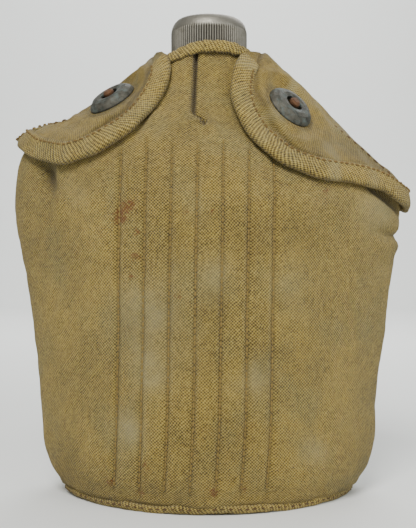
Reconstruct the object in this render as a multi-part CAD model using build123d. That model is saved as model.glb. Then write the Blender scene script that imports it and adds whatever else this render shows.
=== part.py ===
from build123d import *

import math
import os

# Covered field canteen: a one-quart aluminium bottle in a felt-lined canvas cover.
# Frame, in millimetres: +Z up, the wearer's side is +Y, the front bulges towards -Y, and the origin is
# on the neck's axis in the plane of the base. The cover's right shoulder droops lower than its left.

# --- driving dimensions -----------------------------------------------------------------------------
CANVAS = 1.2            # cotton duck
FELT = 2.2              # lining
LAYER_GAP = 0.25        # air between neighbouring layers
SEAM_Y = 8.0            # plane of the side seams, where front and back panels meet
SEAM_GAP = 0.2
NECK_HOLE_R = 17.4      # hole round the neck in the cover's top
PANEL_TOP = 181.5       # where front and back panels end, inside the neck bindings
CAP_R = 16.0
CAP_BASE, CAP_TOP = 176.5, 197.5
CAP_WALL = 1.9
CAP_FLUTES = 60
NECK_R, NECK_BORE_R = 12.4, 11.0
NECK_BASE, NECK_TOP = 170.0, 193.0
THREAD_PITCH = 4.0
THREAD_DEPTH = 1.15
THREAD_TURNS = 2.0
THREAD_BASE = 182.0
RIVET_R = 1.5                 # shank of the cap's rivet
LINER_R = 13.2                # cork seal and its plate
BOTTLE_WALL = 1.0
FLAP_GAP = 1.6          # under a flap: room for the stud's flange and the socket's back plate
FLAP_CLOTH = 2.4        # two plies of duck
BINDING_WIDTH = 8.5
BINDING_PROUD = 0.8     # the tape stands this far above and below the flap it wraps
TUCK = 2.0              # the flap's edge stops this far inside its binding
SOCKET_R, SOCKET_H = 10.0, 3.0
SOCKET_HOLE_R = 3.7
STUD_R, STUD_HEAD_R, STUD_H = 1.7, 2.2, 8.2
SNAP_RISE = 0.6         # the snap sits this far off the canvas, which curves away under it
PLATE_R = 6.0
WASHER_R = 4.2
HINGE_Y = 15.0          # the flaps fold along the back of the shoulder ridge
FOLD_RELIEF = math.radians(40)
WIRE_R = 1.6            # belt hook wire
HOOK_HALF_W = 12.0
HOOK_BAR_Y, HOOK_BAR_Z = 26.3, 112.0
HOOK_TOP_Z, HOOK_TIP_Z = 148.0, 127.0
HOOK_BEND_R = 5.0
STRAP_HALF_W, STRAP_T = 8.5, 1.8
STRAP_BASE_Z = 62.0

# Outer face of the canvas, one row a height: z, left x, right x, front y, back y, horn radius, horn y.
COVER = [
    (1.2, -57, 57, -40, 17.0, 20.0, 1),
    (5, -61.8, 61.8, -43, 18.5, 22.0, 1),
    (11, -66.5, 66.5, -45.5, 20.0, 23.5, 2),
    (20, -69.5, 69.5, -47, 21.0, 24.0, 2),
    (45, -70.5, 70.5, -48, 21.5, 24.5, 2),
    (80, -75, 75, -48, 21.5, 25.0, 2),
    (108, -79.5, 79.5, -47.5, 21.5, 25.0, 2),
    (118, -81, 80.5, -46.8, 21.5, 25.0, 2),
    (126, -81, 77.0, -44.5, 21.8, 24.5, 2),
    (133, -80.5, 69.5, -42.0, 22.0, 23.0, 2.5),
    (140, -79.5, 62.5, -38.5, 22.5, 21.0, 3.5),
    (146, -75, 57.0, -34.5, 23.0, 19.0, 5),
    (152, -57, 51.5, -30.5, 23.5, 16.5, 6.2),
    (159, -46, 45.0, -26.5, 23.0, 15.0, 6.6),
    (167, -35, 36.5, -23.0, 21.5, 15.5, 4.0),
    (174, -25, 27.5, -21, 19.8, 17.0, 1),
    (179, -19.4, 20.2, -19.2, 18.8, 17.5, 0),
    (184.5, -18.8, 18.8, -18.4, 18.4, 17.5, 0),
]
# Outer face of the bottle, in the same form.
BOTTLE = [
    (6.0, -55, 55, -37, 12.0, 15.0, 1),
    (12, -61.5, 61.5, -40.5, 15.0, 18.5, 1),
    (24, -64.6, 64.6, -42.4, 16.3, 19.5, 2),
    (60, -66.5, 66.5, -43.2, 16.7, 20.5, 2),
    (100, -71.5, 71.5, -42.8, 16.7, 20.5, 2),
    (119, -71.0, 71.0, -40.0, 16.7, 20.0, 2),
    (134, -61.5, 61.5, -34.5, 16.5, 17.0, 3),
    (146, -49, 49, -27.5, 16.3, 14.0, 5),
    (157, -37, 37, -21.0, 16.0, 12.0, 5),
    (165, -24.5, 24.5, -16.8, 14.6, 12.0, 2),
    (170.5, -13.6, 13.6, -13.2, 13.2, 12.8, 0),
]
# Free edge of each flap in the front view, from the shoulder corner to the neck.
LEFT_EDGE = [(-88, 150), (-79, 143), (-68, 136.5), (-55, 133), (-42, 136.5), (-30, 144), (-22, 153),
             (-16.5, 163), (-14.5, 172), (-17.8, 183)]
RIGHT_EDGE = [(92, 112), (82, 117.5), (70, 124.5), (58, 126), (44, 127.5), (32, 132.5), (20, 142.5),
              (12.5, 153), (9.4, 163), (10.5, 173), (15.5, 181.5), (20, 185)]
# Fold line of each flap in the front view, corner end and neck end.
LEFT_FOLD = ((-79, 149), (-19, 182))
RIGHT_FOLD = ((82, 123), (21, 181.5))
LEFT_STUD_AT = (-37.2, 158.0)
RIGHT_STUD_AT = (29.6, 154.0)


# --- kidney-shaped sections -------------------------------------------------------------------------
def kidney_circles(half, front, back, horn_r, horn_y):
    """Radii of the front and back arcs that run tangent into both horns, and the horn centre's x."""
    horn_x = half - horn_r
    deep, shallow = horn_y - front, horn_y - back
    front_r = (horn_x**2 + deep**2 - horn_r**2) / (2 * (deep - horn_r))
    back_r = (horn_x**2 + shallow**2 - horn_r**2) / (2 * (shallow + horn_r))
    return front_r, back_r, horn_x


def bent(front, back, horn_r, horn_y):
    """Front and back moved by a hair where the arc between the horns would come out dead straight."""
    front = min(front, horn_y - horn_r - 0.3)
    hollow = horn_y + horn_r - back
    if abs(hollow) < 0.3:
        back = horn_y + horn_r - math.copysign(0.3, hollow)
    return front, back


def kidney(row):
    """Closed wire of four tangent arcs for one row of a table: front, right horn, back, left horn."""
    z, left, right, front, back, horn_r, horn_y = row
    mid, half = (left + right) / 2, (right - left) / 2
    front, back = bent(front, back, horn_r, horn_y)
    front_r, back_r, horn_x = kidney_circles(half, front, back, horn_r, horn_y)
    to_front = Vector(-horn_x, front + front_r - horn_y) * (-horn_r / (front_r - horn_r))
    to_back = Vector(-horn_x, back + back_r - horn_y) * (horn_r / (back_r + horn_r))

    def at(x, y):
        return Vector(mid + x, y, z)

    right_front = at(horn_x + to_front.X, horn_y + to_front.Y)
    left_front = at(-horn_x - to_front.X, horn_y + to_front.Y)
    right_back = at(horn_x + to_back.X, horn_y + to_back.Y)
    left_back = at(-horn_x - to_back.X, horn_y + to_back.Y)
    return Wire([
        ThreePointArc(left_front, at(0, front), right_front).edge(),
        ThreePointArc(right_front, at(half, horn_y), right_back).edge(),
        ThreePointArc(right_back, at(0, back), left_back).edge(),
        ThreePointArc(left_back, at(-half, horn_y), left_front).edge(),
    ])


def facing(rows, i, column, side):
    """How far the wall at row i faces sideways and upwards, as a unit pair, in the profile of a column."""
    low, high = rows[max(i - 1, 0)], rows[min(i + 1, len(rows) - 1)]
    rise, run = high[0] - low[0], side * (low[column] - high[column])
    length = math.hypot(rise, run)
    return rise / length, run / length


def inset(rows, depth):
    """The table of the surface that lies this deep inside; a negative depth lies outside."""
    out = []
    for i, (z, left, right, front, back, horn_r, horn_y) in enumerate(rows):
        left_f, right_f = facing(rows, i, 1, -1), facing(rows, i, 2, 1)
        front_f, back_f = facing(rows, i, 3, -1), facing(rows, i, 4, 1)
        up = min((left_f[1] + right_f[1]) / 2, 0.92)

        def inward(face):
            return depth * min((1 - up * face[1]) / max(face[0], 0.35), 1.6)

        sides = (inward(left_f) + inward(right_f)) / 2
        out.append((z - depth * up, left + inward(left_f), right - inward(right_f), front + inward(front_f),
                    back - inward(back_f), max(horn_r - sides, 3.0), horn_y))
    return out


def skin(rows):
    """Solid inside the surface that a table describes."""
    return loft([Face(kidney(row)) for row in rows], ruled=True)


def stretch(rows, floor=None, roof=None):
    """The same table run on downwards along its slope and straight upwards, to cut cleanly."""
    rows = list(rows)
    if floor is not None:
        share = (floor - rows[0][0]) / (rows[1][0] - rows[0][0])
        rows[0] = tuple(a + (b - a) * share for a, b in zip(rows[0], rows[1]))
    if roof is not None:
        rows[-1] = (roof,) + rows[-1][1:]
    return rows


def shell(rows, outer_depth, inner_depth, floor, roof):
    """Wall between two depths inside a table's surface, cut level at the floor and the roof."""
    outside = skin(stretch(inset(rows, outer_depth), roof=roof + 3))
    inside = skin(stretch(inset(rows, inner_depth), floor=floor - 3, roof=roof + 6))
    band = Pos(0, 0, (floor + roof) / 2) * Box(220, 160, roof - floor)
    return (outside - inside) & band


def half_space(y_from, y_to):
    """Block between two planes across the depth of the cover."""
    return Pos(0, (y_from + y_to) / 2, 110) * Box(260, y_to - y_from, 300)


def front_y(rows, x, z):
    """Where the front of a table's surface lies at this x and height."""
    for low, high in zip(rows, rows[1:]):
        if low[0] <= z <= high[0]:
            share = (z - low[0]) / (high[0] - low[0])
            _, left, right, front, back, horn_r, horn_y = (
                a + (b - a) * share for a, b in zip(low, high))
            mid, half = (left + right) / 2, (right - left) / 2
            front_r, _, _ = kidney_circles(half, front, back, horn_r, horn_y)
            return front + front_r - math.sqrt(front_r**2 - (x - mid) ** 2)
    raise ValueError("height outside the table")


# --- where each snap stands and how each flap turns ---------------------------------------------------
def fold_axis(fold):
    """Point on a flap's fold line and its direction, turned so that a positive turn opens the flap."""
    (x0, z0), (x1, z1) = fold
    start, end = Vector(x0, HINGE_Y, z0), Vector(x1, HINGE_Y, z1)
    direction = (start - end).normalized() if x0 < 0 else (end - start).normalized()
    return start, direction


def snap_plane(stud_at, fold):
    """Plane just above the canvas under a snap, facing halfway between the wall and the way a flap lifts."""
    x, z = stud_at
    step = 0.5
    foot = Vector(x, front_y(COVER, x, z), z)
    slope_x = (front_y(COVER, x + step, z) - front_y(COVER, x - step, z)) / (2 * step)
    slope_z = (front_y(COVER, x, z + step) - front_y(COVER, x, z - step)) / (2 * step)
    wall = Vector(slope_x, -1, slope_z).normalized()
    start, direction = fold_axis(fold)
    arm = foot - start
    arm = arm - direction * arm.dot(direction)
    lift = direction.cross(arm).normalized()
    normal = (lift + wall).normalized()
    return Plane(origin=foot + normal * SNAP_RISE, x_dir=direction.cross(normal), z_dir=normal)


def disc(plane, base, top, radius, hole=0.0):
    """Disc or ring on a snap's axis between two heights."""
    body = extrude(plane.offset(base) * Circle(radius), top - base)
    if hole:
        body -= extrude(plane.offset(base - 1) * Circle(hole), top - base + 2)
    return body


def turned(plane, outline):
    """Solid of revolution on a snap's axis from (radius, height) points, straight between them."""
    face = make_face(Polyline(*[(r, 0, h) for r, h in outline], close=True))
    return plane.location * revolve(face, Axis.Z)


SNAPS = {"left": snap_plane(LEFT_STUD_AT, LEFT_FOLD), "right": snap_plane(RIGHT_STUD_AT, RIGHT_FOLD)}


# --- bottle -------------------------------------------------------------------------------------------
def bottle_shell():
    outside = skin(BOTTLE)
    inside = skin(inset(BOTTLE, BOTTLE_WALL))
    mouth = Pos(0, 0, 168) * Cylinder(NECK_BORE_R, 16)
    return outside - inside - mouth


def thread(radius, depth, base, turns, phase):
    """Helical ridge: a blunt triangle swept round a helix, standing on a wall of this radius."""
    path = Helix(THREAD_PITCH, THREAD_PITCH * turns, radius)
    root = 0.15 if depth > 0 else -0.15
    with_axis = Plane(origin=path @ 0, x_dir=(1, 0, 0), z_dir=(0, -1, 0))
    profile = with_axis * make_face(Polyline(
        (-root, -0.75), (depth, -0.25), (depth, 0.25), (-root, 0.75), close=True))
    ridge = sweep(profile, path=path, is_frenet=True)
    return Pos(0, 0, base) * Rot(0, 0, phase) * ridge


def bottle_neck():
    tube = Pos(0, 0, (NECK_BASE + NECK_TOP) / 2) * Cylinder(NECK_R, NECK_TOP - NECK_BASE)
    collar = Pos(0, 0, NECK_BASE + 1.8) * Cylinder(NECK_R + 1.6, 2.4)
    ridge = thread(NECK_R, THREAD_DEPTH, THREAD_BASE, THREAD_TURNS, 0)
    bore = Pos(0, 0, (NECK_BASE + NECK_TOP) / 2) * Cylinder(NECK_BORE_R, NECK_TOP - NECK_BASE + 4)
    below = skin(BOTTLE)
    return (tube + collar + ridge) - bore - below


# --- cap ----------------------------------------------------------------------------------------------
def cap_shell():
    height = CAP_TOP - CAP_BASE
    body = Pos(0, 0, CAP_BASE + height / 2) * Cylinder(CAP_R, height)
    body = fillet(body.edges().filter_by(GeomType.CIRCLE).group_by(Axis.Z)[-1], 4.5)
    hollow_r = CAP_R - CAP_WALL
    hollow_h = NECK_TOP + 2.2 - CAP_BASE
    body -= Pos(0, 0, CAP_BASE + hollow_h / 2) * Cylinder(hollow_r, hollow_h)
    flute = Pos(CAP_R + 0.15, 0, CAP_BASE + 8.0) * Cylinder(0.5, 16.5)
    body -= [Rot(0, 0, i * 360 / CAP_FLUTES) * flute for i in range(CAP_FLUTES)]
    body -= Pos(0, 0, CAP_TOP) * Cylinder(RIVET_R + 0.05, 12)
    ridge = thread(hollow_r, -THREAD_DEPTH, THREAD_BASE + THREAD_PITCH / 2, THREAD_TURNS, 0)
    return body + ridge


def cap_rivet():
    """Rivet through the crown: round head outside, shank down to the plate that holds the seal."""
    head = Pos(0, 0, CAP_TOP + 0.45) * Cylinder(2.8, 0.8)
    head = fillet(head.edges().group_by(Axis.Z)[-1], 0.5)
    shank_h = CAP_TOP + 0.1 - (NECK_TOP + 0.9)
    return head + Pos(0, 0, NECK_TOP + 0.9 + shank_h / 2) * Cylinder(RIVET_R, shank_h)


def cap_plate():
    """Thin plate in the crown that the rivet holds, backing the cork seal."""
    ring = Pos(0, 0, NECK_TOP + 1.85) * Cylinder(LINER_R - 0.4, 0.4)
    return ring - Pos(0, 0, NECK_TOP + 1.85) * Cylinder(RIVET_R + 0.02, 2)


def cap_seal():
    """Cork ring pressed between the cap and the rim of the neck."""
    ring = Pos(0, 0, NECK_TOP + 0.85) * Cylinder(LINER_R, 1.5)
    return ring - Pos(0, 0, NECK_TOP + 0.85) * Cylinder(RIVET_R + 0.02, 3)


# --- cover --------------------------------------------------------------------------------------------
LINING_AT = CANVAS + LAYER_GAP


def front_panel():
    panel = shell(COVER, 0, CANVAS, 1.2, PANEL_TOP) & half_space(-80, SEAM_Y - SEAM_GAP / 2)
    for plane in SNAPS.values():
        panel -= disc(plane, -9, 3, STUD_R + 0.1)
        panel -= disc(plane, -0.6, 6, 3.8)
        panel -= disc(plane, FLAP_GAP - 0.2, 9, SOCKET_R + 0.4)
        panel -= disc(plane, -9, -CANVAS - 1.0, WASHER_R + 0.2)
    return panel


def front_lining():
    wall = shell(COVER, LINING_AT, LINING_AT + FELT, 4.2, PANEL_TOP - 5)
    wall &= half_space(-80, SEAM_Y - SEAM_GAP / 2)
    for plane in SNAPS.values():
        wall -= disc(plane, -12, 6, WASHER_R + 0.5)
    return wall


def back_panel():
    return shell(COVER, 0, CANVAS, 1.2, PANEL_TOP) & half_space(SEAM_Y + SEAM_GAP / 2, 80)


def back_lining():
    wall = shell(COVER, LINING_AT, LINING_AT + FELT, 4.2, PANEL_TOP - 5)
    return wall & half_space(SEAM_Y + SEAM_GAP / 2, 80)


def base_slab(depth, low, high):
    """Flat piece of the outline that the cover's bottom edge has at this depth."""
    _, left, right, front, back, horn_r, horn_y = COVER[0]
    row = (low, left + depth, right - depth, front + depth, back - depth, horn_r - depth, horn_y)
    return extrude(Face(kidney(row)), high - low, dir=(0, 0, 1))


def bottom_panel():
    return base_slab(0, 0, 1.1)


def bottom_lining():
    return base_slab(CANVAS + 1.6, 1.25, 4.1)


def bottom_binding():
    """Rolled seam allowance round the bottom edge, outside the panels."""
    ring = base_slab(-1.9, 0, 2.8) - base_slab(-0.15, -1, 4)
    return ring - skin(stretch(inset(COVER, -0.12), floor=1.15))


def neck_binding(y_from, y_to):
    """Tape folded over the panel's top edge round the neck."""
    ring = Pos(0, 0, 182.3) * (Cylinder(20.2, 4.6) - Cylinder(NECK_HOLE_R - 0.5, 8))
    slot = shell(COVER, -0.15, CANVAS + 0.15, 170, PANEL_TOP + 0.15)
    return (ring - slot) & half_space(y_from, y_to)


# --- flaps --------------------------------------------------------------------------------------------
def edge_prism(edge, inner):
    """Prism through the cover, bounded below by a flap's free edge moved inwards by this much."""
    side = -1 if edge[0][0] < 0 else 1
    curve = Spline(*edge)
    points = []
    for i in range(31):
        on_edge, along = curve @ (i / 30), curve % (i / 30)
        points.append((on_edge.X + side * along.Y * inner, on_edge.Y - side * along.X * inner))
    far = 130 * side
    free = Spline(*points)
    lid = Polyline(points[-1], (points[-1][0], 240), (far, 240), (far, points[0][1]), points[0])
    return extrude(Plane.XZ * make_face(free.edges() + lid.edges()), 150, both=True)


def ahead_of_fold(fold):
    """Block in front of the fold, cut back under it so that the flap's corner clears the side when it opens."""
    start, direction = fold_axis(fold)
    forward = Vector(0, -1, 0)
    outward = direction.cross(forward)
    keep = forward * math.cos(FOLD_RELIEF) + outward * math.sin(FOLD_RELIEF)
    block = extrude(Plane(origin=start, x_dir=direction, z_dir=keep) * Rectangle(400, 400), 200)
    return block & half_space(-90, HINGE_Y)


def flap_layer(low, high, fold, edge, inner):
    """Cloth between two heights above the canvas, from the fold forwards to the free edge."""
    outer = skin(stretch(inset(COVER, -high), floor=-4, roof=200))
    inside = skin(stretch(inset(COVER, -low), floor=-8, roof=204))
    roof = Pos(0, 0, 50) * Box(240, 200, 270)
    collar = Pos(0, 0, 190) * Cylinder(21.2, 40)
    return ((outer - inside) & edge_prism(edge, inner) & ahead_of_fold(fold) & roof) - collar


def one_solid(body):
    """The largest solid of a cut shape: offcuts of the trimming are dropped."""
    return max(body.solids(), key=lambda s: s.volume)


def flap(side, fold, edge):
    cloth = flap_layer(FLAP_GAP, FLAP_GAP + FLAP_CLOTH, fold, edge, TUCK)
    plane = SNAPS[side]
    cloth -= disc(plane, -6, 12, SOCKET_HOLE_R)
    cloth -= disc(plane, FLAP_GAP + FLAP_CLOTH - 0.4, 14, SOCKET_R + 0.25)
    cloth -= disc(plane, -6, FLAP_GAP + 0.6, PLATE_R + 0.3)
    return one_solid(cloth)


def flap_binding(side, fold, edge):
    tape = flap_layer(FLAP_GAP - BINDING_PROUD, FLAP_GAP + FLAP_CLOTH + BINDING_PROUD, fold, edge, 0)
    tape -= edge_prism(edge, BINDING_WIDTH)
    tape -= flap_layer(FLAP_GAP - 0.05, FLAP_GAP + FLAP_CLOTH + 0.05, fold, edge, TUCK - 0.1)
    tape -= disc(SNAPS[side], -6, 14, SOCKET_R + 0.4)
    return one_solid(tape)


def socket_cap(plane):
    """Domed socket with a rolled rim and a hole for the stud's head."""
    base = FLAP_GAP + FLAP_CLOTH - 0.3
    top = base + SOCKET_H
    return turned(plane, [(SOCKET_HOLE_R, top), (SOCKET_HOLE_R + 2.0, top + 0.3), (7.6, top), (9.3, top - 1.3),
                          (SOCKET_R, base + 0.5), (SOCKET_R, base), (SOCKET_R - 0.8, base),
                          (8.4, top - 1.7), (7.2, top - 0.8), (SOCKET_HOLE_R, top - 0.8)])


def socket_spring(plane):
    """Split ring inside the socket that grips the stud below its head."""
    base = FLAP_GAP + FLAP_CLOTH + 0.1
    gap = plane.offset(base) * Pos(4, 0, 0) * Box(6, 1.6, 6)
    return disc(plane, base, base + 0.9, 4.6, 3.4) - gap


def socket_plate(plane):
    """Clinch plate under the flap that holds the socket."""
    return disc(plane, FLAP_GAP - 0.1, FLAP_GAP + 0.5, PLATE_R, SOCKET_HOLE_R)


def stud(plane):
    """Snap stud: flange on the canvas, waisted post and ball head, shank through to the washer."""
    foot = -CANVAS - 1.9
    return turned(plane, [(0, foot), (STUD_R, foot), (STUD_R, -0.5), (3.6, -0.5), (3.6, -0.1),
                          (STUD_R + 0.3, 0.4), (STUD_R - 0.2, 1.6), (STUD_R - 0.2, STUD_H - 2.4),
                          (STUD_HEAD_R, STUD_H - 1.8), (STUD_HEAD_R, STUD_H - 0.9), (1.4, STUD_H), (0, STUD_H)])


def stud_washer(plane):
    """Washer inside the front panel that backs the stud."""
    return disc(plane, -CANVAS - 1.7, -CANVAS - 1.1, WASHER_R, STUD_R + 0.03)


# --- belt hanger --------------------------------------------------------------------------------------
def hook():
    """Double belt hook: one wire with a level bar, two stems and two tines bent over to the wearer."""
    tine_y = HOOK_BAR_Y + 2 * HOOK_BEND_R
    right = [(HOOK_HALF_W, HOOK_BAR_Y, HOOK_BAR_Z), (HOOK_HALF_W, HOOK_BAR_Y, HOOK_TOP_Z)]
    corner = 3.5

    def mirrored(point):
        return (-point[0], point[1], point[2])

    bar = FilletPolyline(mirrored(right[1]), mirrored(right[0]), right[0], right[1], radius=corner)
    arc = ThreePointArc(right[1], (HOOK_HALF_W, HOOK_BAR_Y + HOOK_BEND_R, HOOK_TOP_Z + HOOK_BEND_R),
                        (HOOK_HALF_W, tine_y, HOOK_TOP_Z))
    tine = Line((HOOK_HALF_W, tine_y, HOOK_TOP_Z), (HOOK_HALF_W, tine_y, HOOK_TIP_Z))
    arc_left = mirror(arc, Plane.YZ)
    tine_left = mirror(tine, Plane.YZ)
    path = Wire(bar.edges() + arc.edges() + tine.edges() + arc_left.edges() + tine_left.edges())
    start = path @ 0
    section = Plane(origin=start, z_dir=path % 0) * Circle(WIRE_R)
    return sweep(section, path=path)


def strap():
    """Webbing sewn flat up the back panel, turned over the hook's bar and sewn down on itself."""
    face_y = 21.9
    loop_r = WIRE_R + 0.25
    outer_r = loop_r + STRAP_T
    run = HOOK_BAR_Z - STRAP_BASE_Z
    flat = Pos(0, face_y + STRAP_T / 2, STRAP_BASE_Z + run / 2) * Box(2 * STRAP_HALF_W, STRAP_T, run)
    ring = Pos(0, HOOK_BAR_Y, HOOK_BAR_Z) * Rot(0, 90, 0) * (
        Cylinder(outer_r, 2 * STRAP_HALF_W) - Cylinder(loop_r, 40))
    end = Pos(0, HOOK_BAR_Y + loop_r + STRAP_T / 2, HOOK_BAR_Z - 9) * Box(2 * STRAP_HALF_W, STRAP_T, 18)
    fill = Pos(0, (face_y + HOOK_BAR_Y + loop_r + STRAP_T) / 2, HOOK_BAR_Z - 14) * Box(
        2 * STRAP_HALF_W, HOOK_BAR_Y + loop_r + STRAP_T - face_y, 16)
    clear = Pos(0, HOOK_BAR_Y, HOOK_BAR_Z) * Rot(0, 90, 0) * Cylinder(loop_r, 40)
    return (flat + ring + end + fill) - clear - skin(inset(COVER, -0.1))


# --- the named nodes ----------------------------------------------------------------------------------
def nodes():
    made = {
        "bottle_shell": bottle_shell, "bottle_neck": bottle_neck, "cap_shell": cap_shell, "cap_rivet": cap_rivet,
        "cap_plate": cap_plate, "cap_seal": cap_seal, "front_panel": front_panel, "front_lining": front_lining,
        "back_panel": back_panel, "back_lining": back_lining, "bottom_panel": bottom_panel,
        "bottom_lining": bottom_lining, "bottom_binding": bottom_binding, "belt_hook": hook, "hanger_strap": strap,
        "front_neck_binding": lambda: neck_binding(-60, SEAM_Y - SEAM_GAP / 2),
        "back_neck_binding": lambda: neck_binding(SEAM_Y + SEAM_GAP / 2, 60),
    }
    for side, fold, edge in (("left", LEFT_FOLD, LEFT_EDGE), ("right", RIGHT_FOLD, RIGHT_EDGE)):
        plane = SNAPS[side]
        made[f"{side}_flap"] = lambda s=side, f=fold, e=edge: flap(s, f, e)
        made[f"{side}_flap_binding"] = lambda s=side, f=fold, e=edge: flap_binding(s, f, e)
        made[f"{side}_snap_socket"] = lambda p=plane: socket_cap(p)
        made[f"{side}_snap_spring"] = lambda p=plane: socket_spring(p)
        made[f"{side}_snap_plate"] = lambda p=plane: socket_plate(p)
        made[f"{side}_stud"] = lambda p=plane: stud(p)
        made[f"{side}_stud_washer"] = lambda p=plane: stud_washer(p)
    return made


os.makedirs("parts", exist_ok=True)
for name, build in nodes().items():
    export_step(build(), f"parts/{name}.step")
for side, fold in (("left", LEFT_FOLD), ("right", RIGHT_FOLD)):
    start, direction = fold_axis(fold)
    print(side, "fold", tuple(start), tuple(direction), "snap", tuple(SNAPS[side].origin), tuple(SNAPS[side].z_dir))
print("capacity in litres", round(skin(inset(BOTTLE, BOTTLE_WALL)).volume / 1e6, 3))
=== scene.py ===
# %% [markdown]
# # A covered field canteen
# The object is an aluminium bottle in a felt-lined cotton cover. A fixed frame of engineering parts is
# loaded first: it holds every joint and every true size. The looks are then built round it: cloth, tape,
# stitches, a ribbed cap and worn finishes. Lengths in this file are in millimetres until they reach a mesh.

# %% Tools and the frame
import math

import bmesh
import bpy
import numpy as np
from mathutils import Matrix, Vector


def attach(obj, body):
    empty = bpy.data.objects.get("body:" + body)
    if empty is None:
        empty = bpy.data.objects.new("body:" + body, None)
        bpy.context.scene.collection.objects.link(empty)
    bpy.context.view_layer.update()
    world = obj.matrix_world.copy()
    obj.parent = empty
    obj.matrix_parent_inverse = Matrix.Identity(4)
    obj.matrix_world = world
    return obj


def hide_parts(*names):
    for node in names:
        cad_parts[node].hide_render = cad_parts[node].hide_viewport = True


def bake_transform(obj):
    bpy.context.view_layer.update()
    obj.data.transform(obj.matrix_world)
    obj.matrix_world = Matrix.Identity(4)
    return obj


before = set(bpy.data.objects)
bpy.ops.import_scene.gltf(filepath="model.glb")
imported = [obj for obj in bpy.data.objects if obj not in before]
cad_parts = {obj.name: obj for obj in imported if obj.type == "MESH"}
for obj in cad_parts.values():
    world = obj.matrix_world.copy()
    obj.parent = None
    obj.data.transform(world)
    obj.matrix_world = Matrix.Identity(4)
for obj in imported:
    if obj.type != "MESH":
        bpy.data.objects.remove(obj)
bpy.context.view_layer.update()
MM = 0.001

# %% [markdown]
# ## Meshes from grids
# Nearly every piece here is one sheet or tube: a grid of points, rows by columns. A grid is turned into
# quads in one step, its last column may join its first, and its open ends may be closed by a face. Each
# corner carries its place on the cloth in millimetres, so that a weave keeps its size all over.

# %% Grid to mesh
def grid_faces(rows, cols, around):
    """Quads of a grid, counter-clockwise when rows run up and columns run to the right."""
    i, j = np.meshgrid(np.arange(rows - 1), np.arange(cols if around else cols - 1), indexing="ij")
    i, j = i.ravel(), j.ravel()
    k = (j + 1) % cols
    corners = np.stack([i * cols + j, i * cols + k, (i + 1) * cols + k, (i + 1) * cols + j], axis=1)
    wide = cols + 1
    places = np.stack([i * wide + j, i * wide + j + 1, (i + 1) * wide + j + 1, (i + 1) * wide + j], axis=1)
    return corners, places


def lengths_along(points, axis):
    """Distance run so far along each row or column of a grid, from zero at its start."""
    steps = np.linalg.norm(np.diff(points, axis=axis), axis=-1)
    start = np.zeros_like(np.take(steps, [0], axis=axis))
    return np.concatenate([start, np.cumsum(steps, axis=axis)], axis=axis)


def add_piece(name, points, material, body="cover", around=False, ends=False, marks=None, place=None):
    """Object from a grid of points in millimetres, with its weave map, painted marks and rounded shading."""
    rows, cols = points.shape[:2]
    corners, places = grid_faces(rows, cols, around)
    wide = np.concatenate([points, points[:, :1]], axis=1)
    if place is None:
        place = np.stack([lengths_along(wide, 1), np.broadcast_to(
            lengths_along(wide, 0).mean(axis=1, keepdims=True), wide.shape[:2])], axis=-1)
    elif place.shape[1] == cols:
        place = np.concatenate([place, place[:, :1]], axis=1)
    faces = corners.tolist()
    flat = place.reshape(-1, 2)[places.ravel()]
    if ends:
        first, last = list(range(cols))[::-1], list(range((rows - 1) * cols, rows * cols))
        faces += [first, last]
        flat = np.concatenate([flat, place[0, :cols][::-1], place[-1, :cols]])
    mesh = bpy.data.meshes.new(name)
    mesh.from_pydata((points.reshape(-1, 3) * MM).tolist(), [], faces)
    layer = mesh.uv_layers.new(name="cloth")
    layer.data.foreach_set("uv", (flat * 0.01).astype(np.float32).ravel())
    for mark, values in (marks or {}).items():
        spot = mesh.attributes.new(mark, "FLOAT", "POINT")
        spot.data.foreach_set("value", np.ascontiguousarray(values, dtype=np.float32).ravel())
    mesh.polygons.foreach_set("use_smooth", [True] * len(mesh.polygons))
    mesh.materials.append(material)
    mesh.update()
    piece = bpy.data.objects.new(name, mesh)
    bpy.context.scene.collection.objects.link(piece)
    if body:
        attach(piece, body)
    print(name, len(mesh.polygons), "faces")
    return piece


def thicken(piece, thickness, offset=-1.0):
    """Cloth thickness for an open sheet, laid on its inner side."""
    wall = piece.modifiers.new("cloth thickness", "SOLIDIFY")
    wall.thickness = thickness * MM
    wall.offset = offset
    wall.use_even_offset = False


# %% [markdown]
# ## Uneven cloth
# Old canvas is never flat. Layers of smooth random waves give it slow dents and finer puckers. The waves
# come from a fixed seed, so the cloth is the same every time.

# %% Smooth random waves
def waves(x, y, length, seed, count=14):
    """Sum of sine waves of about this length in random directions, between about minus one and one."""
    draw = np.random.default_rng(seed)
    total = np.zeros(np.broadcast(x, y).shape)
    for _ in range(count):
        turn, phase = draw.uniform(0, math.tau, 2)
        pitch = length * draw.uniform(0.7, 1.5)
        total = total + np.sin((x * math.cos(turn) + y * math.sin(turn)) * math.tau / pitch + phase)
    return total / math.sqrt(count * 2)


def bell(distance, width):
    """Smooth bump: one in the middle, falling to nothing a few widths away."""
    return np.exp(-((distance / width) ** 2))


def ease(x, low, high):
    """Smooth step from zero at low to one at high."""
    t = np.clip((x - low) / (high - low), 0, 1)
    return t * t * (3 - 2 * t)


# %% [markdown]
# ## The cover's form
# Seen from above, the cover is a kidney: a long front arc, two round horns and a back arc that hollows
# to fit a hip. Its size changes with height, and the right shoulder droops lower than the left. The form
# is kept as a distance from an upright line for each direction and height, because any cloth, tape or
# stitch can then be laid on it at any height above the surface.

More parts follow.
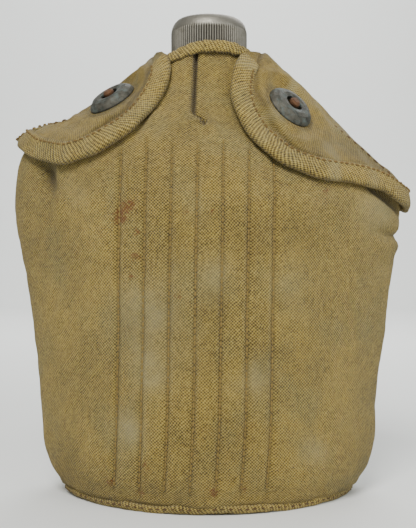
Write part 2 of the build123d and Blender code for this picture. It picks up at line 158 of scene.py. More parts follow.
# %% Kidney stations
STATIONS = np.array([
    # height, left, right, front, back, horn radius, horn depth
    (0.0, -56.0, 56.0, -39.5, 16.8, 19.5, 1),
    (5, -61.8, 61.8, -43, 18.5, 22.0, 1),
    (11, -66.5, 66.5, -45.5, 20.0, 23.5, 2),
    (20, -69.5, 69.5, -47, 21.0, 24.0, 2),
    (45, -70.5, 70.5, -48, 21.5, 24.5, 2),
    (80, -75, 75, -48, 21.5, 25.0, 2),
    (108, -79.5, 79.5, -47.5, 21.5, 25.0, 2),
    (118, -81, 80.5, -46.8, 21.5, 25.0, 2),
    (126, -81, 77.0, -44.5, 21.8, 24.5, 2),
    (133, -80.5, 69.5, -42.0, 22.0, 23.0, 2.5),
    (140, -79.5, 62.5, -38.5, 22.5, 21.0, 3.5),
    (146, -75, 57.0, -34.5, 23.0, 19.0, 5),
    (152, -57, 51.5, -30.5, 23.5, 16.5, 6.2),
    (159, -46, 45.0, -26.5, 23.0, 15.0, 6.6),
    (167, -35, 36.5, -23.0, 21.5, 15.5, 4.0),
    (174, -25, 27.5, -21, 19.8, 17.0, 1),
    (179, -19.4, 20.2, -19.2, 18.8, 17.5, 0),
    (190, -18.8, 18.8, -18.4, 18.4, 17.5, 0),
])
STEP = 0.5
HEIGHTS = np.arange(0, 188, STEP)
TURNS = np.radians(np.arange(-180, 180, 0.5))


def soften(values, width, axis=0, wrap=False):
    """Gaussian smoothing of equally spaced rows or columns."""
    reach = int(width * 3) + 1
    weights = bell(np.arange(-reach, reach + 1), width * 1.414)
    weights /= weights.sum()
    pad = [(reach, reach) if a == axis else (0, 0) for a in range(values.ndim)]
    padded = np.pad(values, pad, mode="wrap" if wrap else "edge")
    take = [np.take(padded, range(k, k + values.shape[axis]), axis=axis) for k in range(2 * reach + 1)]
    return sum(w * t for w, t in zip(weights, take))


left, right, front, back, horn_r, horn_y = (
    soften(np.interp(HEIGHTS, STATIONS[:, 0], STATIONS[:, k]), 4) for k in range(1, 7))
half, mid_x, mid_y = (right - left) / 2, (right + left) / 2, (front + back) / 2


def kidney_rings(half, front, back, horn_r, horn_y):
    """Rings of points, one a height: the front arc, right horn, back arc and left horn, by their formulas."""
    horn_x = half - horn_r
    deep, shallow = horn_y - front, horn_y - back
    hollow = shallow + horn_r
    hollow = np.where(np.abs(hollow) < 0.3, np.where(hollow < 0, -0.3, 0.3), hollow)
    shallow = hollow - horn_r
    front_r = (horn_x**2 + deep**2 - horn_r**2) / (2 * np.maximum(deep - horn_r, 0.3))
    back_r = (horn_x**2 + shallow**2 - horn_r**2) / (2 * hollow)
    front_turn = np.arctan2(horn_x, front + front_r - horn_y)
    back_turn = np.pi + np.arctan(horn_x / (horn_y - shallow + back_r - horn_y))
    s = np.linspace(0, 1, 120)[None, :]
    t = front_turn[:, None] * s
    x1 = front_r[:, None] * np.sin(t)
    y1 = (front + front_r)[:, None] - front_r[:, None] * np.cos(t)
    t = front_turn[:, None] + (back_turn - front_turn)[:, None] * s
    x2 = horn_x[:, None] + horn_r[:, None] * np.sin(t)
    y2 = horn_y[:, None] - horn_r[:, None] * np.cos(t)
    x3 = x2[:, -1:] * (1 - s)
    middle = (horn_y - shallow + back_r)[:, None]
    y3 = middle - np.sign(back_r)[:, None] * np.sqrt(np.maximum(back_r[:, None] ** 2 - x3**2, 0))
    return np.concatenate([x1, x2, x3], axis=1), np.concatenate([y1, y2, y3], axis=1)


def reach_table():
    """Distance from the upright line to the surface, for every height and every direction round it."""
    xs, ys = kidney_rings(half, front, back, horn_r, horn_y)
    table = np.zeros((len(HEIGHTS), len(TURNS)))
    for row in range(len(HEIGHTS)):
        turn = np.arctan2(xs[row], mid_y[row] - ys[row])
        order = np.argsort(turn)
        away = np.hypot(xs[row], ys[row] - mid_y[row])[order]
        table[row] = np.interp(np.abs(TURNS), turn[order], away)
    return soften(soften(table, 1.5), 1.5, axis=1, wrap=True)


REACH = reach_table()


def column(values, z):
    """A quantity kept per height, read at any height."""
    return np.interp(z, HEIGHTS, values)


def cover_at(turn, z, lift=0.0):
    """Point of the cover in a direction and at a height, raised along the surface's outward normal."""
    def surface(turn, z):
        row = np.clip(z / STEP, 0, len(HEIGHTS) - 1.001)
        place = np.mod(turn + np.pi, math.tau) / math.tau * len(TURNS)
        r0, c0 = row.astype(int), place.astype(int) % len(TURNS)
        c1 = (c0 + 1) % len(TURNS)
        fr, fc = row - r0, place - np.floor(place)
        away = ((REACH[r0, c0] * (1 - fc) + REACH[r0, c1] * fc) * (1 - fr)
                + (REACH[r0 + 1, c0] * (1 - fc) + REACH[r0 + 1, c1] * fc) * fr)
        return np.stack([column(mid_x, z) + away * np.sin(turn), column(mid_y, z) - away * np.cos(turn),
                         z + 0 * away], axis=-1)
    turn, z = np.broadcast_arrays(np.asarray(turn, float), np.asarray(z, float))
    here = surface(turn, z)
    along = surface(turn + 0.02, z) - surface(turn - 0.02, z)
    up = surface(turn, np.minimum(z + 1, 186)) - surface(turn, np.maximum(z - 1, 0))
    normal = np.cross(along, up)
    normal /= np.maximum(np.linalg.norm(normal, axis=-1, keepdims=True), 1e-9)
    return here + normal * np.asarray(lift)[..., None], normal


def turn_of(x, y, z):
    """Direction, seen from the upright line, of a point beside the cover."""
    return np.arctan2(x - column(mid_x, z), column(mid_y, z) - y)


def front_turn_at(x, z):
    """Direction in which the front of the cover has this x, from the arc or the horn that covers it."""
    a, f, r, d = column(half, z), column(front, z), column(horn_r, z), column(horn_y, z)
    off = np.clip(np.abs(x - column(mid_x, z)), 0, a - 0.01)
    horn_x, deep = a - r, d - f
    front_r = (horn_x**2 + deep**2 - r**2) / (2 * (deep - r))
    tangent = horn_x + r * horn_x / (front_r - r)
    y_front = f + front_r - np.sqrt(np.maximum(front_r**2 - off**2, 0))
    y_horn = d - np.sqrt(np.maximum(r**2 - (off - horn_x) ** 2, 0))
    return turn_of(x, np.where(off < tangent, y_front, y_horn), z)


def horn_turn_at(side, y, z):
    """Direction of the horn at this depth, on the right for side 1 and on the left for side -1."""
    a, r, d = column(half, z), column(horn_r, z), column(horn_y, z)
    x = a - r + np.sqrt(np.maximum(r**2 - (y - d) ** 2, 0))
    return turn_of(column(mid_x, z) + side * x, y, z)


print("cover form", REACH.shape, "widest", round(float(half.max() * 2), 1))

# %% [markdown]
# ## Finishes
# A finish is a small graph of nodes. The cloth finishes read the weave map, so that the threads follow
# the piece; the metals read the object's own coordinates. Painted marks carry painted shade into creases,
# seams, grooves and along edges, with some dark patches, and rust onto the places where it has run.

# %% Node helpers
def node(tree, kind, **settings):
    """New node with its plain settings, and its numbered or named inputs given as values or links."""
    made = tree.nodes.new(kind)
    for key, value in settings.items():
        if key == "inputs":
            for socket, source in value.items():
                if isinstance(source, bpy.types.NodeSocket):
                    tree.links.new(source, made.inputs[socket])
                else:
                    made.inputs[socket].default_value = source
        else:
            setattr(made, key, value)
    return made


def maths(tree, operation, a, b=0.0, c=0.0):
    return node(tree, "ShaderNodeMath", operation=operation, inputs={0: a, 1: b, 2: c}).outputs[0]


def between(tree, value, low, high):
    """Clamped share of the way from low to high."""
    made = node(tree, "ShaderNodeMapRange", inputs={0: value, 1: low, 2: high})
    return made.outputs[0]


def noise(tree, where, scale, detail=3.0, rough=0.5):
    """Smooth noise from zero to one, with this many waves a metre."""
    return node(tree, "ShaderNodeTexNoise",
                inputs={"Vector": where, "Scale": scale, "Detail": detail, "Roughness": rough}).outputs[0]


def blend_colour(tree, share, first, second, mode="MIX"):
    made = node(tree, "ShaderNodeMix", data_type="RGBA", blend_type=mode)
    for socket, source in ((0, share), (6, first), (7, second)):
        if isinstance(source, bpy.types.NodeSocket):
            tree.links.new(source, made.inputs[socket])
        elif socket == 0:
            made.inputs[0].default_value = source
        else:
            made.inputs[socket].default_value = (*source, 1)
    return made.outputs[2]


def finish(name, rough=0.8, metal=0.0):
    """New material with its tree, its shader, and the object's coordinates in metres."""
    material = bpy.data.materials.new(name)
    material.use_nodes = True
    tree = material.node_tree
    shader = tree.nodes["Principled BSDF"]
    shader.inputs["Roughness"].default_value = rough
    shader.inputs["Metallic"].default_value = metal
    where = node(tree, "ShaderNodeTexCoord").outputs["Object"]
    return material, tree, shader, where


def colour_from(tree, shader, colour):
    tree.links.new(colour, shader.inputs["Base Color"])


def relief(tree, shader, height, depth):
    """Bump of this depth in millimetres."""
    bump = node(tree, "ShaderNodeBump", inputs={"Height": height, "Distance": depth * MM, "Strength": 1.0})
    tree.links.new(bump.outputs[0], shader.inputs["Normal"])


def mark(tree, name):
    return node(tree, "ShaderNodeAttribute", attribute_name=name).outputs["Fac"]


# %% [markdown]
# ### Woven cloth
# Cotton duck is a plain weave: threads cross over and under one another, so light catches a bump at every
# crossing, and the crossings are also painted paler as a painted highlight. Two sine waves multiplied
# together give that pattern, and a little noise bends the threads. The holes between threads get painted
# shade.
# Tape is the same idea with a coarser, slanting thread and small holes darkened with painted shade.

# %% Cloth finishes
KHAKI, KHAKI_HIGHLIGHT, KHAKI_SHADE_AND_STAIN = (0.215, 0.141, 0.019), (0.590, 0.455, 0.125), (0.032, 0.020, 0.004)
DULL_GREEN, DULL_BROWN, SUN_FADED = (0.135, 0.108, 0.032), (0.160, 0.088, 0.014), (0.345, 0.300, 0.150)
RUST = (0.135, 0.042, 0.006)


def cloth_finish(name, thread, slant, hole, tone=1.0, crossing_highlight=0.5, upright=None):
    """Woven cotton: thread size in millimetres, slant of the weave, depth and painted shade of the holes
    between threads.

    Frame pieces have no weave map, so theirs reads two of the object's axes, and upright says whether
    one of them is Z.
    """
    def shade(colour, share=1.0):
        return tuple(c * share * tone for c in colour)

    material, tree, shader, where = finish(name, rough=0.92)
    shader.inputs["Sheen Weight"].default_value = 0.12
    shader.inputs["Specular IOR Level"].default_value = 0.2
    place = node(tree, "ShaderNodeUVMap", uv_map="cloth").outputs[0]
    if upright is not None:
        turned = (math.pi / 2 if upright else 0, 0, 0)
        place = node(tree, "ShaderNodeMapping",
                     inputs={"Vector": where, "Scale": (10, 10, 10), "Rotation": turned}).outputs[0]
    apart = node(tree, "ShaderNodeSeparateXYZ", inputs={0: place})
    wander = maths(tree, "MULTIPLY", maths(tree, "SUBTRACT", noise(tree, where, 260, 2), 0.5), 0.010)
    u = maths(tree, "ADD", apart.outputs[0], wander)
    v = maths(tree, "SUBTRACT", apart.outputs[1], wander)
    v = maths(tree, "MULTIPLY_ADD", u, slant, v)
    pitch = math.tau / (thread * 0.01)
    across = maths(tree, "SINE", maths(tree, "MULTIPLY", u, pitch))
    along = maths(tree, "SINE", maths(tree, "MULTIPLY", v, pitch))
    weave = maths(tree, "MULTIPLY_ADD", maths(tree, "MULTIPLY", across, along), 0.5, 0.5)
    fuzz = noise(tree, where, 900, 4, 0.75)
    grain = maths(tree, "MULTIPLY_ADD", maths(tree, "SUBTRACT", fuzz, 0.5), 1.5, weave)
    lit = between(tree, grain, 0.30, 1.05)
    blotch = noise(tree, where, 34, 6, 0.62)
    patch = noise(tree, where, 230, 4, 0.7)
    base = blend_colour(tree, between(tree, blotch, 0.40, 0.62), shade(KHAKI, 0.66), shade(KHAKI, 1.30))
    dull = blend_colour(tree, 1.0, base, (0.62, 0.60, 0.56), "MULTIPLY")
    base = blend_colour(tree, between(tree, patch, 0.42, 0.66), base, dull)
    green = between(tree, noise(tree, where, 48, 5, 0.6), 0.50, 0.64)
    base = blend_colour(tree, maths(tree, "MULTIPLY", green, 0.75), base, shade(DULL_GREEN))
    brown = between(tree, noise(tree, where, 140, 4, 0.65), 0.52, 0.72)
    base = blend_colour(tree, maths(tree, "MULTIPLY", brown, 0.4), base, shade(DULL_BROWN))
    # Painted highlight: the raised thread crossings are painted a paler khaki.
    base = blend_colour(tree, maths(tree, "MULTIPLY", lit, crossing_highlight), base, shade(KHAKI_HIGHLIGHT))
    # Painted shade: the holes between threads are darkened.
    hole_shade = maths(tree, "MULTIPLY", between(tree, grain, 0.42, 0.02), hole)
    base = blend_colour(tree, hole_shade, base, KHAKI_SHADE_AND_STAIN)
    # Painted shade in creases, seams, grooves and along edges, with some dark patches, from this mark.
    shade_and_stain = maths(tree, "MULTIPLY", mark(tree, "shade_and_stain"), 0.85)
    base = blend_colour(tree, shade_and_stain, base, KHAKI_SHADE_AND_STAIN)
    faded = maths(tree, "MULTIPLY", mark(tree, "faded"), between(tree, blotch, 0.3, 0.7))
    base = blend_colour(tree, faded, base, SUN_FADED)
    fleck = maths(tree, "MULTIPLY_ADD", noise(tree, where, 650, 5, 0.8), 3.0, -1.5)
    stain = maths(tree, "ADD", maths(tree, "MULTIPLY", mark(tree, "rust"), 0.6), fleck)
    near_spot = between(tree, mark(tree, "rust"), 0.04, 0.4)
    stain = maths(tree, "MULTIPLY", between(tree, stain, 0.25, 0.55), near_spot)
    base = blend_colour(tree, maths(tree, "MULTIPLY", stain, 0.8), base, RUST)
    colour_from(tree, shader, base)
    relief(tree, shader, grain, 0.42 + 0.34 * hole)
    return material


canvas = cloth_finish("worn cotton duck", 1.22, 0.0, 0.9, crossing_highlight=0.75)
smooth_canvas = cloth_finish("worn flap duck", 0.9, 0.0, 0.5, tone=1.0, crossing_highlight=0.5)
tape = cloth_finish("coarse binding tape", 1.35, 0.55, 1.0, tone=1.08, crossing_highlight=0.75)


def thread_finish(name, colour):
    material, tree, shader, where = finish(name, rough=0.85)
    dirt = noise(tree, where, 900, 3)
    dark, pale = tuple(c * 0.6 for c in colour), tuple(c * 1.4 for c in colour)
    colour_from(tree, shader, blend_colour(tree, dirt, dark, pale))
    relief(tree, shader, noise(tree, where, 5000, 2), 0.08)
    return material


dark_thread = thread_finish("dark sewing thread", (0.075, 0.040, 0.012))
line_thread = thread_finish("quilting thread", (0.215, 0.145, 0.036))
brown_thread = thread_finish("brown sewing thread", (0.135, 0.082, 0.020))

# %% [markdown]
# ## Front and back panels
# The front panel wraps round both sides to the side seams, and the back panel closes it. Both are one
# sheet each, laid on the cover's form. Down the front run seven lines of quilting that hold the felt
# lining, so the cloth dips along each line and swells between them. A pleat runs down from the neck, and
# the corners pull into folds where the flaps tug on them.

# %% Panel relief
LINES = 7
LINE_PITCH, FIRST_LINE = 9.75, -34.6
LINE_FOOT, LINE_HEAD = 9.0, 141.0
PANEL_FOOT, PANEL_HEAD = 1.2, 180.6
SEAM_DEPTH = 8.0
PANEL_CLOTH = 1.2


def line_x(k, z):
    """Sideways place of a quilting line: nearly upright, leaning a little to the right as it rises."""
    return FIRST_LINE + LINE_PITCH * k + 1.1 * (z - 70) / 70 - 1.2 * ease(z, 40, 0)


def pleat_x(z):
    """Sideways place of the pleat under the neck, which hooks to the right at its foot."""
    return -5.6 - 0.03 * (176 - z) + 4.5 * ease(z, 154.5, 149.5)


def panel_relief(x, y, z):
    """How far the cloth stands off the form, its painted shade and dark patches, and how faded and rusty it
    is, at each point.
    """
    on_front = ease(-y, 0, 7)
    rise = 0.55 * waves(x * 1.6, z, 46, 3) + 0.22 * waves(x * 1.3, z + y, 15, 5)
    rise += 0.07 * waves(x + y, z, 5, 7)
    # Random darker patches; below, painted shade in the quilting lines, pleat, pocket, tuck and under the
    # right flap's tip.
    shade_and_stain = 0.10 * ease(waves(x, z + y, 22, 11), 0.3, 1.2)
    quilt = ease(z, LINE_FOOT - 4, LINE_FOOT + 2) * ease(-z, -LINE_HEAD - 3, -LINE_HEAD + 6) * on_front
    for k in range(LINES):
        off = x - line_x(k, z)
        rise -= 0.9 * bell(off, 1.1) * quilt
        shade_and_stain += 0.75 * bell(off, 0.62) * quilt
    rise += 0.30 * quilt
    off = x - pleat_x(z)
    window = ease(z, 148.0, 149.6) * on_front
    rise += window * (-2.4 * bell(off, 0.9) + 0.9 * ease(-off, 0.2, 1.2) * ease(off, -12, -3))
    shade_and_stain += window * 1.2 * bell(off, 0.85)
    rise += on_front * (1.1 * bell(x + 10, 3.5) * bell(z - 152, 7) + 0.7 * bell(x - 1, 3) * bell(z - 148, 3))
    rise += 0.8 * bell(x - 15.5 - 0.2 * (z - 139), 1.2) * bell(z - 139, 4) * on_front
    off = x + 64.5 + 0.25 * (z - 133)
    pocket = -3.4 * bell(off, 3.6) * bell(z - 129.5, 7.5)
    rise += on_front * (pocket + 1.3 * bell(x + 59.5, 2.4) * bell(z - 124, 11))
    shade_and_stain += on_front * 0.85 * bell(off, 2.8) * bell(z - 129.5, 7.5)
    tuck = -1.8 * bell(z - 106.5 + 0.15 * (x - 76), 1.8) * ease(x, 58, 72)
    rise += tuck + 1.0 * bell(z - 102, 2.6) * ease(x, 62, 74)
    shade_and_stain += 0.35 * bell(z - 106.5, 1.2) * ease(x, 62, 74)
    under = x - 62
    tip = 127.5 - 0.62 * under
    rise += on_front * -2.6 * bell(z - tip, 2.4) * ease(x, 60, 66) * ease(-x, -84, -78)
    shade_and_stain += on_front * 0.9 * bell(z - tip, 2.0) * ease(x, 61, 66)
    shoulder = ease(z, 132, 150)
    rise += shoulder * 0.5 * np.sin(0.9 * (x - 0.35 * z)) * ease(np.abs(x), 10, 22) * on_front
    # Painted shade just under the neck collar and along the base.
    shade_and_stain += 0.5 * ease(z, 176.5, 179.5) + 0.35 * ease(-z, -6, -2)
    rise += 0.9 * bell(z - 4.5, 1.6) * (0.6 + 0.5 * waves(x, y, 9, 13))
    rust = np.zeros_like(x)
    for cx, cz, size, strength in RUST_SPOTS:
        rust += strength * bell(np.hypot(x - cx, z - cz), size) * (y < 0)
    rust += 0.28 * bell(z - 3.5, 2.5) * ease(waves(x, y, 12, 17), 0.1, 1.0)
    faded = 0.65 * bell(z - 72, 20) * bell(x + 20, 14) * (y < 0) + 0.45 * ease(waves(x, z, 34, 19), 0.5, 1.6)
    faded += 0.5 * bell(x - 66, 10) * bell(z - 116, 8) * (y < 0)
    for cx, cz, size, strength in PALE_SPOTS:
        faded += strength * bell(np.hypot(x - cx, 0.8 * (z - cz)), size) * (y < 0)
    # Dark patches, added to the same mark.
    for cx, cz, size, strength in DARK_SPOTS:
        shade_and_stain += strength * bell(np.hypot(x - cx, 0.8 * (z - cz)), size) * (y < 0)
    return rise, np.clip(shade_and_stain, 0, 1), np.clip(rust, 0, 1), np.clip(faded, 0, 1)


# Rust marks near the front's left side and along the base: sideways place, height, size, strength.
RUST_SPOTS = [(-32, 115, 3.2, 0.8), (-34, 112, 2.4, 0.9), (-29, 117, 2.0, 0.7), (-27, 107, 1.6, 0.8),
              (-27.5, 97.5, 1.8, 0.8), (-29, 90, 1.6, 0.7), (-9, 114, 1.4, 0.8), (0.8, 114, 1.4, 0.8),
              (-11.5, 83, 1.5, 0.7), (-23.5, 19, 1.6, 0.8), (-38, 11, 2.0, 0.7), (-26, 8, 1.8, 0.8),
              (2, 9.5, 2.4, 0.9), (13, 10, 1.6, 0.7), (44, 122, 2.0, 0.7)]


# Broad pale and dark patches on the front, in the same order of numbers.
PALE_SPOTS = [(-22, 55, 5, 1.2), (19, 53, 5, 1.0), (2, 89, 7, 0.7), (-30, 33, 6, 0.8), (-20, 80, 6, 0.7),
              (30, 85, 8, 0.4)]
DARK_SPOTS = [(-28, 70, 7, 0.34), (-14, 77, 6, 0.26), (2, 80, 6, 0.26), (34, 109, 10, 0.26),
              (-62, 104, 10, 0.22), (20, 58, 8, 0.22), (-5, 60, 9, 0.20), (5, 30, 12, 0.20),
              (14, 108, 8, 0.20), (-12, 104, 8, 0.18), (62, 18, 9, 0.22), (-58, 12, 8, 0.22),
              (-40, 45, 10, 0.12)]


def climb(rows):
    """Heights up a panel, closer together where the shoulders run nearly level."""
    z = np.linspace(PANEL_FOOT, PANEL_HEAD, 1200)
    ground = np.cumsum(np.hypot(np.gradient(z), 0.8 * np.gradient(column(half, z))))
    return np.interp(np.linspace(ground[0], ground[-1], rows), ground, z)


def panel(name, is_front, rows, cols):
    """One panel: a sheet over all directions between the side seams, and all heights from base to neck."""
    z = climb(rows)[:, None]
    seam = horn_turn_at(1, SEAM_DEPTH, z)
    seam_left = horn_turn_at(-1, SEAM_DEPTH, z)
    s = np.linspace(0, 1, cols)[None, :]
    if is_front:
        turn = seam_left + (seam - seam_left) * s
    else:
        turn = seam + (seam_left + math.tau - seam) * s
    z = z + 0 * turn
    flat = cover_at(turn, z, np.zeros_like(z))[0]
    x, y = flat[..., 0], flat[..., 1]
    rise, shade_and_stain, rust, faded = panel_relief(x, y, z)
    if not is_front:
        rise = np.maximum(rise, -0.9)
    to_seam = np.minimum(s, 1 - s) * np.ones_like(z)
    rise = rise - 0.6 * bell(to_seam, 0.006)
    # Painted shade: darker along the side seams, in the cloth's dip there.
    shade_and_stain = np.maximum(shade_and_stain, 0.7 * bell(to_seam, 0.004))
    points = cover_at(turn, z, rise)[0]
    along, up = lengths_along(flat, 1), lengths_along(flat, 0).mean(axis=1, keepdims=True)
    middle = np.argmin(np.abs(x), axis=1)[:, None]
    ahead = 1 if is_front else -1
    start = np.take_along_axis(along, middle, 1) - ahead * np.take_along_axis(x, middle, 1)
    place = np.stack([along - start, np.broadcast_to(up, along.shape)], axis=-1)
    marks = {"shade_and_stain": shade_and_stain, "rust": rust, "faded": faded}
    piece = add_piece(name, points, canvas, marks=marks, place=place)
    thicken(piece, PANEL_CLOTH)
    return piece


front_cloth = panel("front_cloth", True, 150, 300)
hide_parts("front_panel")
back_cloth = panel("back_cloth", False, 130, 180)
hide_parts("back_panel")

# %% [markdown]
# ## Snap flaps
# Each flap is a leaf of cloth between two lines: the free edge on the front, and the fold on the shoulder.
# The leaf lies a few millimetres above the cover. Round its snap it is pressed flat against the socket,
# and around the flat it swells, as stuffed cloth does.

# %% Flap outlines
LEFT_EDGE = [(-80, 147), (-77, 142), (-68, 136.5), (-55, 133), (-42, 136.5), (-30, 144), (-22, 153),
             (-16.5, 163), (-14.3, 172), (-16.0, 180)]
RIGHT_EDGE = [(82, 117), (76, 119), (68, 123.5), (58, 125.4), (41, 126.6), (27, 131.6), (16, 141.2),
              (10.2, 152), (8.4, 162), (9.6, 172), (13.0, 178.5)]
LEFT_SNAP = ((-37.47, -12.26, 158.46), (-0.454, -0.441, 0.774))
RIGHT_SNAP = ((29.94, -20.33, 154.36), (0.569, -0.560, 0.602))
FLAP_TOP, FLAP_CLOTH = 4.0, 2.1
HINGE_Y = 14.0


def evenly(path, count, width=0.0):
    """Path resampled at equal steps of its length, rounded by this many steps."""
    steps = np.hypot(*np.diff(path, axis=0).T)
    run = np.concatenate([[0], np.cumsum(steps)])
    even = np.linspace(0, run[-1], count)
    done = np.stack([np.interp(even, run, path[:, k]) for k in range(path.shape[1])], axis=1)
    if width:
        ends = done[[0, -1]].copy()
        done = soften(done, width)
        done[0], done[-1] = ends
    return done


def free_edge(side, edge, count):
    """Direction and height along a flap's free edge, from the shoulder's back round the horn to the neck."""
    edge = evenly(np.array(edge, float), 160, 4.0)
    turn = front_turn_at(edge[:, 0], edge[:, 1])
    low = edge[0, 1]
    y = np.linspace(HINGE_Y, column(horn_y, low) + 0.5, 24)
    z = low + 3.0 * np.linspace(1, 0, 24) ** 1.5
    round_horn = horn_turn_at(side, y, z)
    turn = np.concatenate([round_horn, turn[1:]])
    height = np.concatenate([z, edge[1:, 1]])
    place = cover_at(turn, height, np.full_like(turn, 3.0))[0]
    run = lengths_along(place[:, None], 0)[:, 0]
    even = np.linspace(0, run[-1], count)
    return np.stack([np.interp(even, run, turn), np.interp(even, run, height)], axis=1)


def fold_line(side, low, high, count):
    """Direction and height along the fold, on the shoulder behind the ridge."""
    z = np.linspace(low, high, 300)
    turn = horn_turn_at(side, HINGE_Y + 0 * z, z)
    place = cover_at(turn, z, np.full_like(z, 3.0))[0]
    run = lengths_along(place[:, None], 0)[:, 0]
    even = np.linspace(0, run[-1], count)
    return np.stack([np.interp(even, run, turn), np.interp(even, run, z)], axis=1)


def press(points, snap, level, inner=11.0, outer=17.0):
    """Points near the snap moved onto a flat seat at this height above the snap's own plane."""
    centre, axis = np.array(snap[0]), np.array(snap[1]) / np.linalg.norm(snap[1])
    off = points - centre
    height = off @ axis
    away = np.linalg.norm(off - height[..., None] * axis, axis=-1)
    share = ease(-away, -outer, -inner) * (np.abs(height) < 14)
    swell = 0.9 * bell(away - outer, 2.2) * (np.abs(height) < 12)
    return points + ((level - height) * share + swell)[..., None] * axis, away


def flap(name, side, edge, fold, snap, seed, rows, cols):
    """Leaf of cloth over the front shoulder, from the free edge up to the fold."""
    low = free_edge(side, edge, cols)
    high = fold_line(side, *fold, cols)
    s = np.linspace(0, 1, rows)[:, None, None]
    leaf = low[None] * (1 - s) + high[None] * s
    if side > 0:
        leaf = leaf[:, ::-1]
    turn, z = leaf[..., 0], leaf[..., 1]
    base = cover_at(turn, z, np.zeros_like(z))[0]
    x, y = base[..., 0], base[..., 1]
    inset = np.linalg.norm(base - base[:1], axis=-1)
    lift = FLAP_TOP + 0.30 * waves(x, z + y, 21, seed) + 0.12 * waves(x + y, z, 8, seed + 1)
    lift = lift + 0.5 * bell(inset - 13, 5) - 0.8 * bell(inset - 8.5, 1.2)
    ridge = bell(y + 8.5, 1.6)
    lift = lift + 0.55 * ridge
    # Painted shade in the groove inside the tape and round the pressed snap seat, plus random darker patches.
    shade_and_stain = 0.6 * bell(inset - 8.8, 1.3) + 0.12 * ease(waves(x, z + y, 18, seed + 2), 0.2, 1.1)
    points = cover_at(turn, z, lift)[0]
    points, away = press(points, snap, 3.5)
    shade_and_stain += 0.5 * bell(away - 11.2, 0.9)
    faded = 0.55 * ease(waves(x + y, z, 16, seed + 3), 0.1, 1.2) + 0.35 * ridge
    piece = add_piece(name, points, smooth_canvas, body=name.split("_")[0] + "_flap_body",
                      marks={"shade_and_stain": np.clip(shade_and_stain, 0, 1), "rust": 0 * x, "faded": np.clip(faded, 0, 1)})
    thicken(piece, FLAP_CLOTH)
    return piece


left_flap_cloth = flap("left_flap_cloth", -1, LEFT_EDGE, (151.0, 179.0), LEFT_SNAP, 41, 70, 170)
right_flap_cloth = flap("right_flap_cloth", 1, RIGHT_EDGE, (122.0, 178.5), RIGHT_SNAP, 61, 80, 190)
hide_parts("left_flap")
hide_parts("right_flap")

# %% [markdown]
# ## Fold strips
# A flap is sewn on behind the shoulder. A narrow strip of the same cloth crosses that fold, from the cover
# behind the shoulder onto the flap's rear edge. It is a fixed piece of its own, joined to no body.

# %% Fold strips
def fold_strip(name, side, fold):
    """Cloth from the back of the shoulder, y = 19, over the flap's rear edge, to y = 12.5 on the flap."""
    z = np.linspace(fold[0] - 1.0, fold[1] + 0.3, 120)[None, :]
    y = np.linspace(19.0, 12.0, 22)[:, None]
    z, y = np.broadcast_arrays(z, y)
    if side < 0:
        z = z[:, ::-1]
    turn = horn_turn_at(side, y, z)
    lift = 0.7 + (FLAP_TOP + 0.1) * ease(-y, -18.6, -14.2) + 0.15 * waves(y, z, 9, 91)
    points = cover_at(turn, z, lift)[0][::-1]
    flat = np.zeros(z.shape)
    # Painted shade along the strip's edge at the back of the shoulder.
    marks = {"shade_and_stain": flat + 0.15 * bell(y[::-1] - 18.5, 0.8), "rust": flat, "faded": flat + 0.2}
    piece = add_piece(name, points, smooth_canvas, body=None, marks=marks)
    thicken(piece, 0.9)
    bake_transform(piece)


fold_strip("left_fold_strip", -1, (151.0, 179.0))
fold_strip("right_fold_strip", 1, (122.0, 178.5))

# %% [markdown]
# ## Binding tape
# The free edges are bound with a thick, coarse tape folded over the cloth. Its section is a soft
# rectangle, |u|^n + |v|^n = 1, whose size wanders a little along its length. The same sweep makes the
# collar round the neck and the welt round the base.

# %% Tape sweep
def soft_section(count, power):
    """Points round a soft rectangle of half-size one."""
    t = np.linspace(0, math.tau, count, endpoint=False)
    c, s = np.cos(t), np.sin(t)
    return np.sign(c) * np.abs(c) ** (2 / power), np.sign(s) * np.abs(s) ** (2 / power)


def sweep(name, spine, side, up, half_width, half_height, material, body, closed=False, section=36, power=2.6,
          marks=None):
    """Tube along a spine: its section lies across the spine, wide along side and high along up."""
    u, v = soft_section(section, power)
    half_width = np.asarray(half_width)[..., None, None]
    half_height = np.asarray(half_height)[..., None, None]
    points = (spine[:, None] + side[:, None] * u[None, :, None] * half_width
              + up[:, None] * v[None, :, None] * half_height)
    if closed:
        points = np.concatenate([points, points[:1]])
    marks = marks or {}
    flat = {k: np.broadcast_to(m, points.shape[:2]) for k, m in marks.items()}
    piece = add_piece(name, points, material, body=body, around=True, ends=not closed, marks=flat)
    if closed:
        weld(piece)
    return piece


def weld(piece):
    """Joins the first and last rows of a closed ring."""
    mesh = bmesh.new()
    mesh.from_mesh(piece.data)
    bmesh.ops.remove_doubles(mesh, verts=mesh.verts, dist=1e-6)
    mesh.to_mesh(piece.data)
    mesh.free()


def frame_along(spine, normal, closed=False):
    """Unit side vectors across a spine on a surface with these normals."""
    if closed:
        ahead = np.roll(spine, -1, axis=0) - np.roll(spine, 1, axis=0)
    else:
        ahead = np.gradient(spine, axis=0)
    ahead /= np.linalg.norm(ahead, axis=1, keepdims=True)
    side = np.cross(normal, ahead)
    side /= np.linalg.norm(side, axis=1, keepdims=True)
    return ahead, side


TAPE_HALF, TAPE_HIGH, TAPE_LIFT = 4.7, 1.9, 3.0


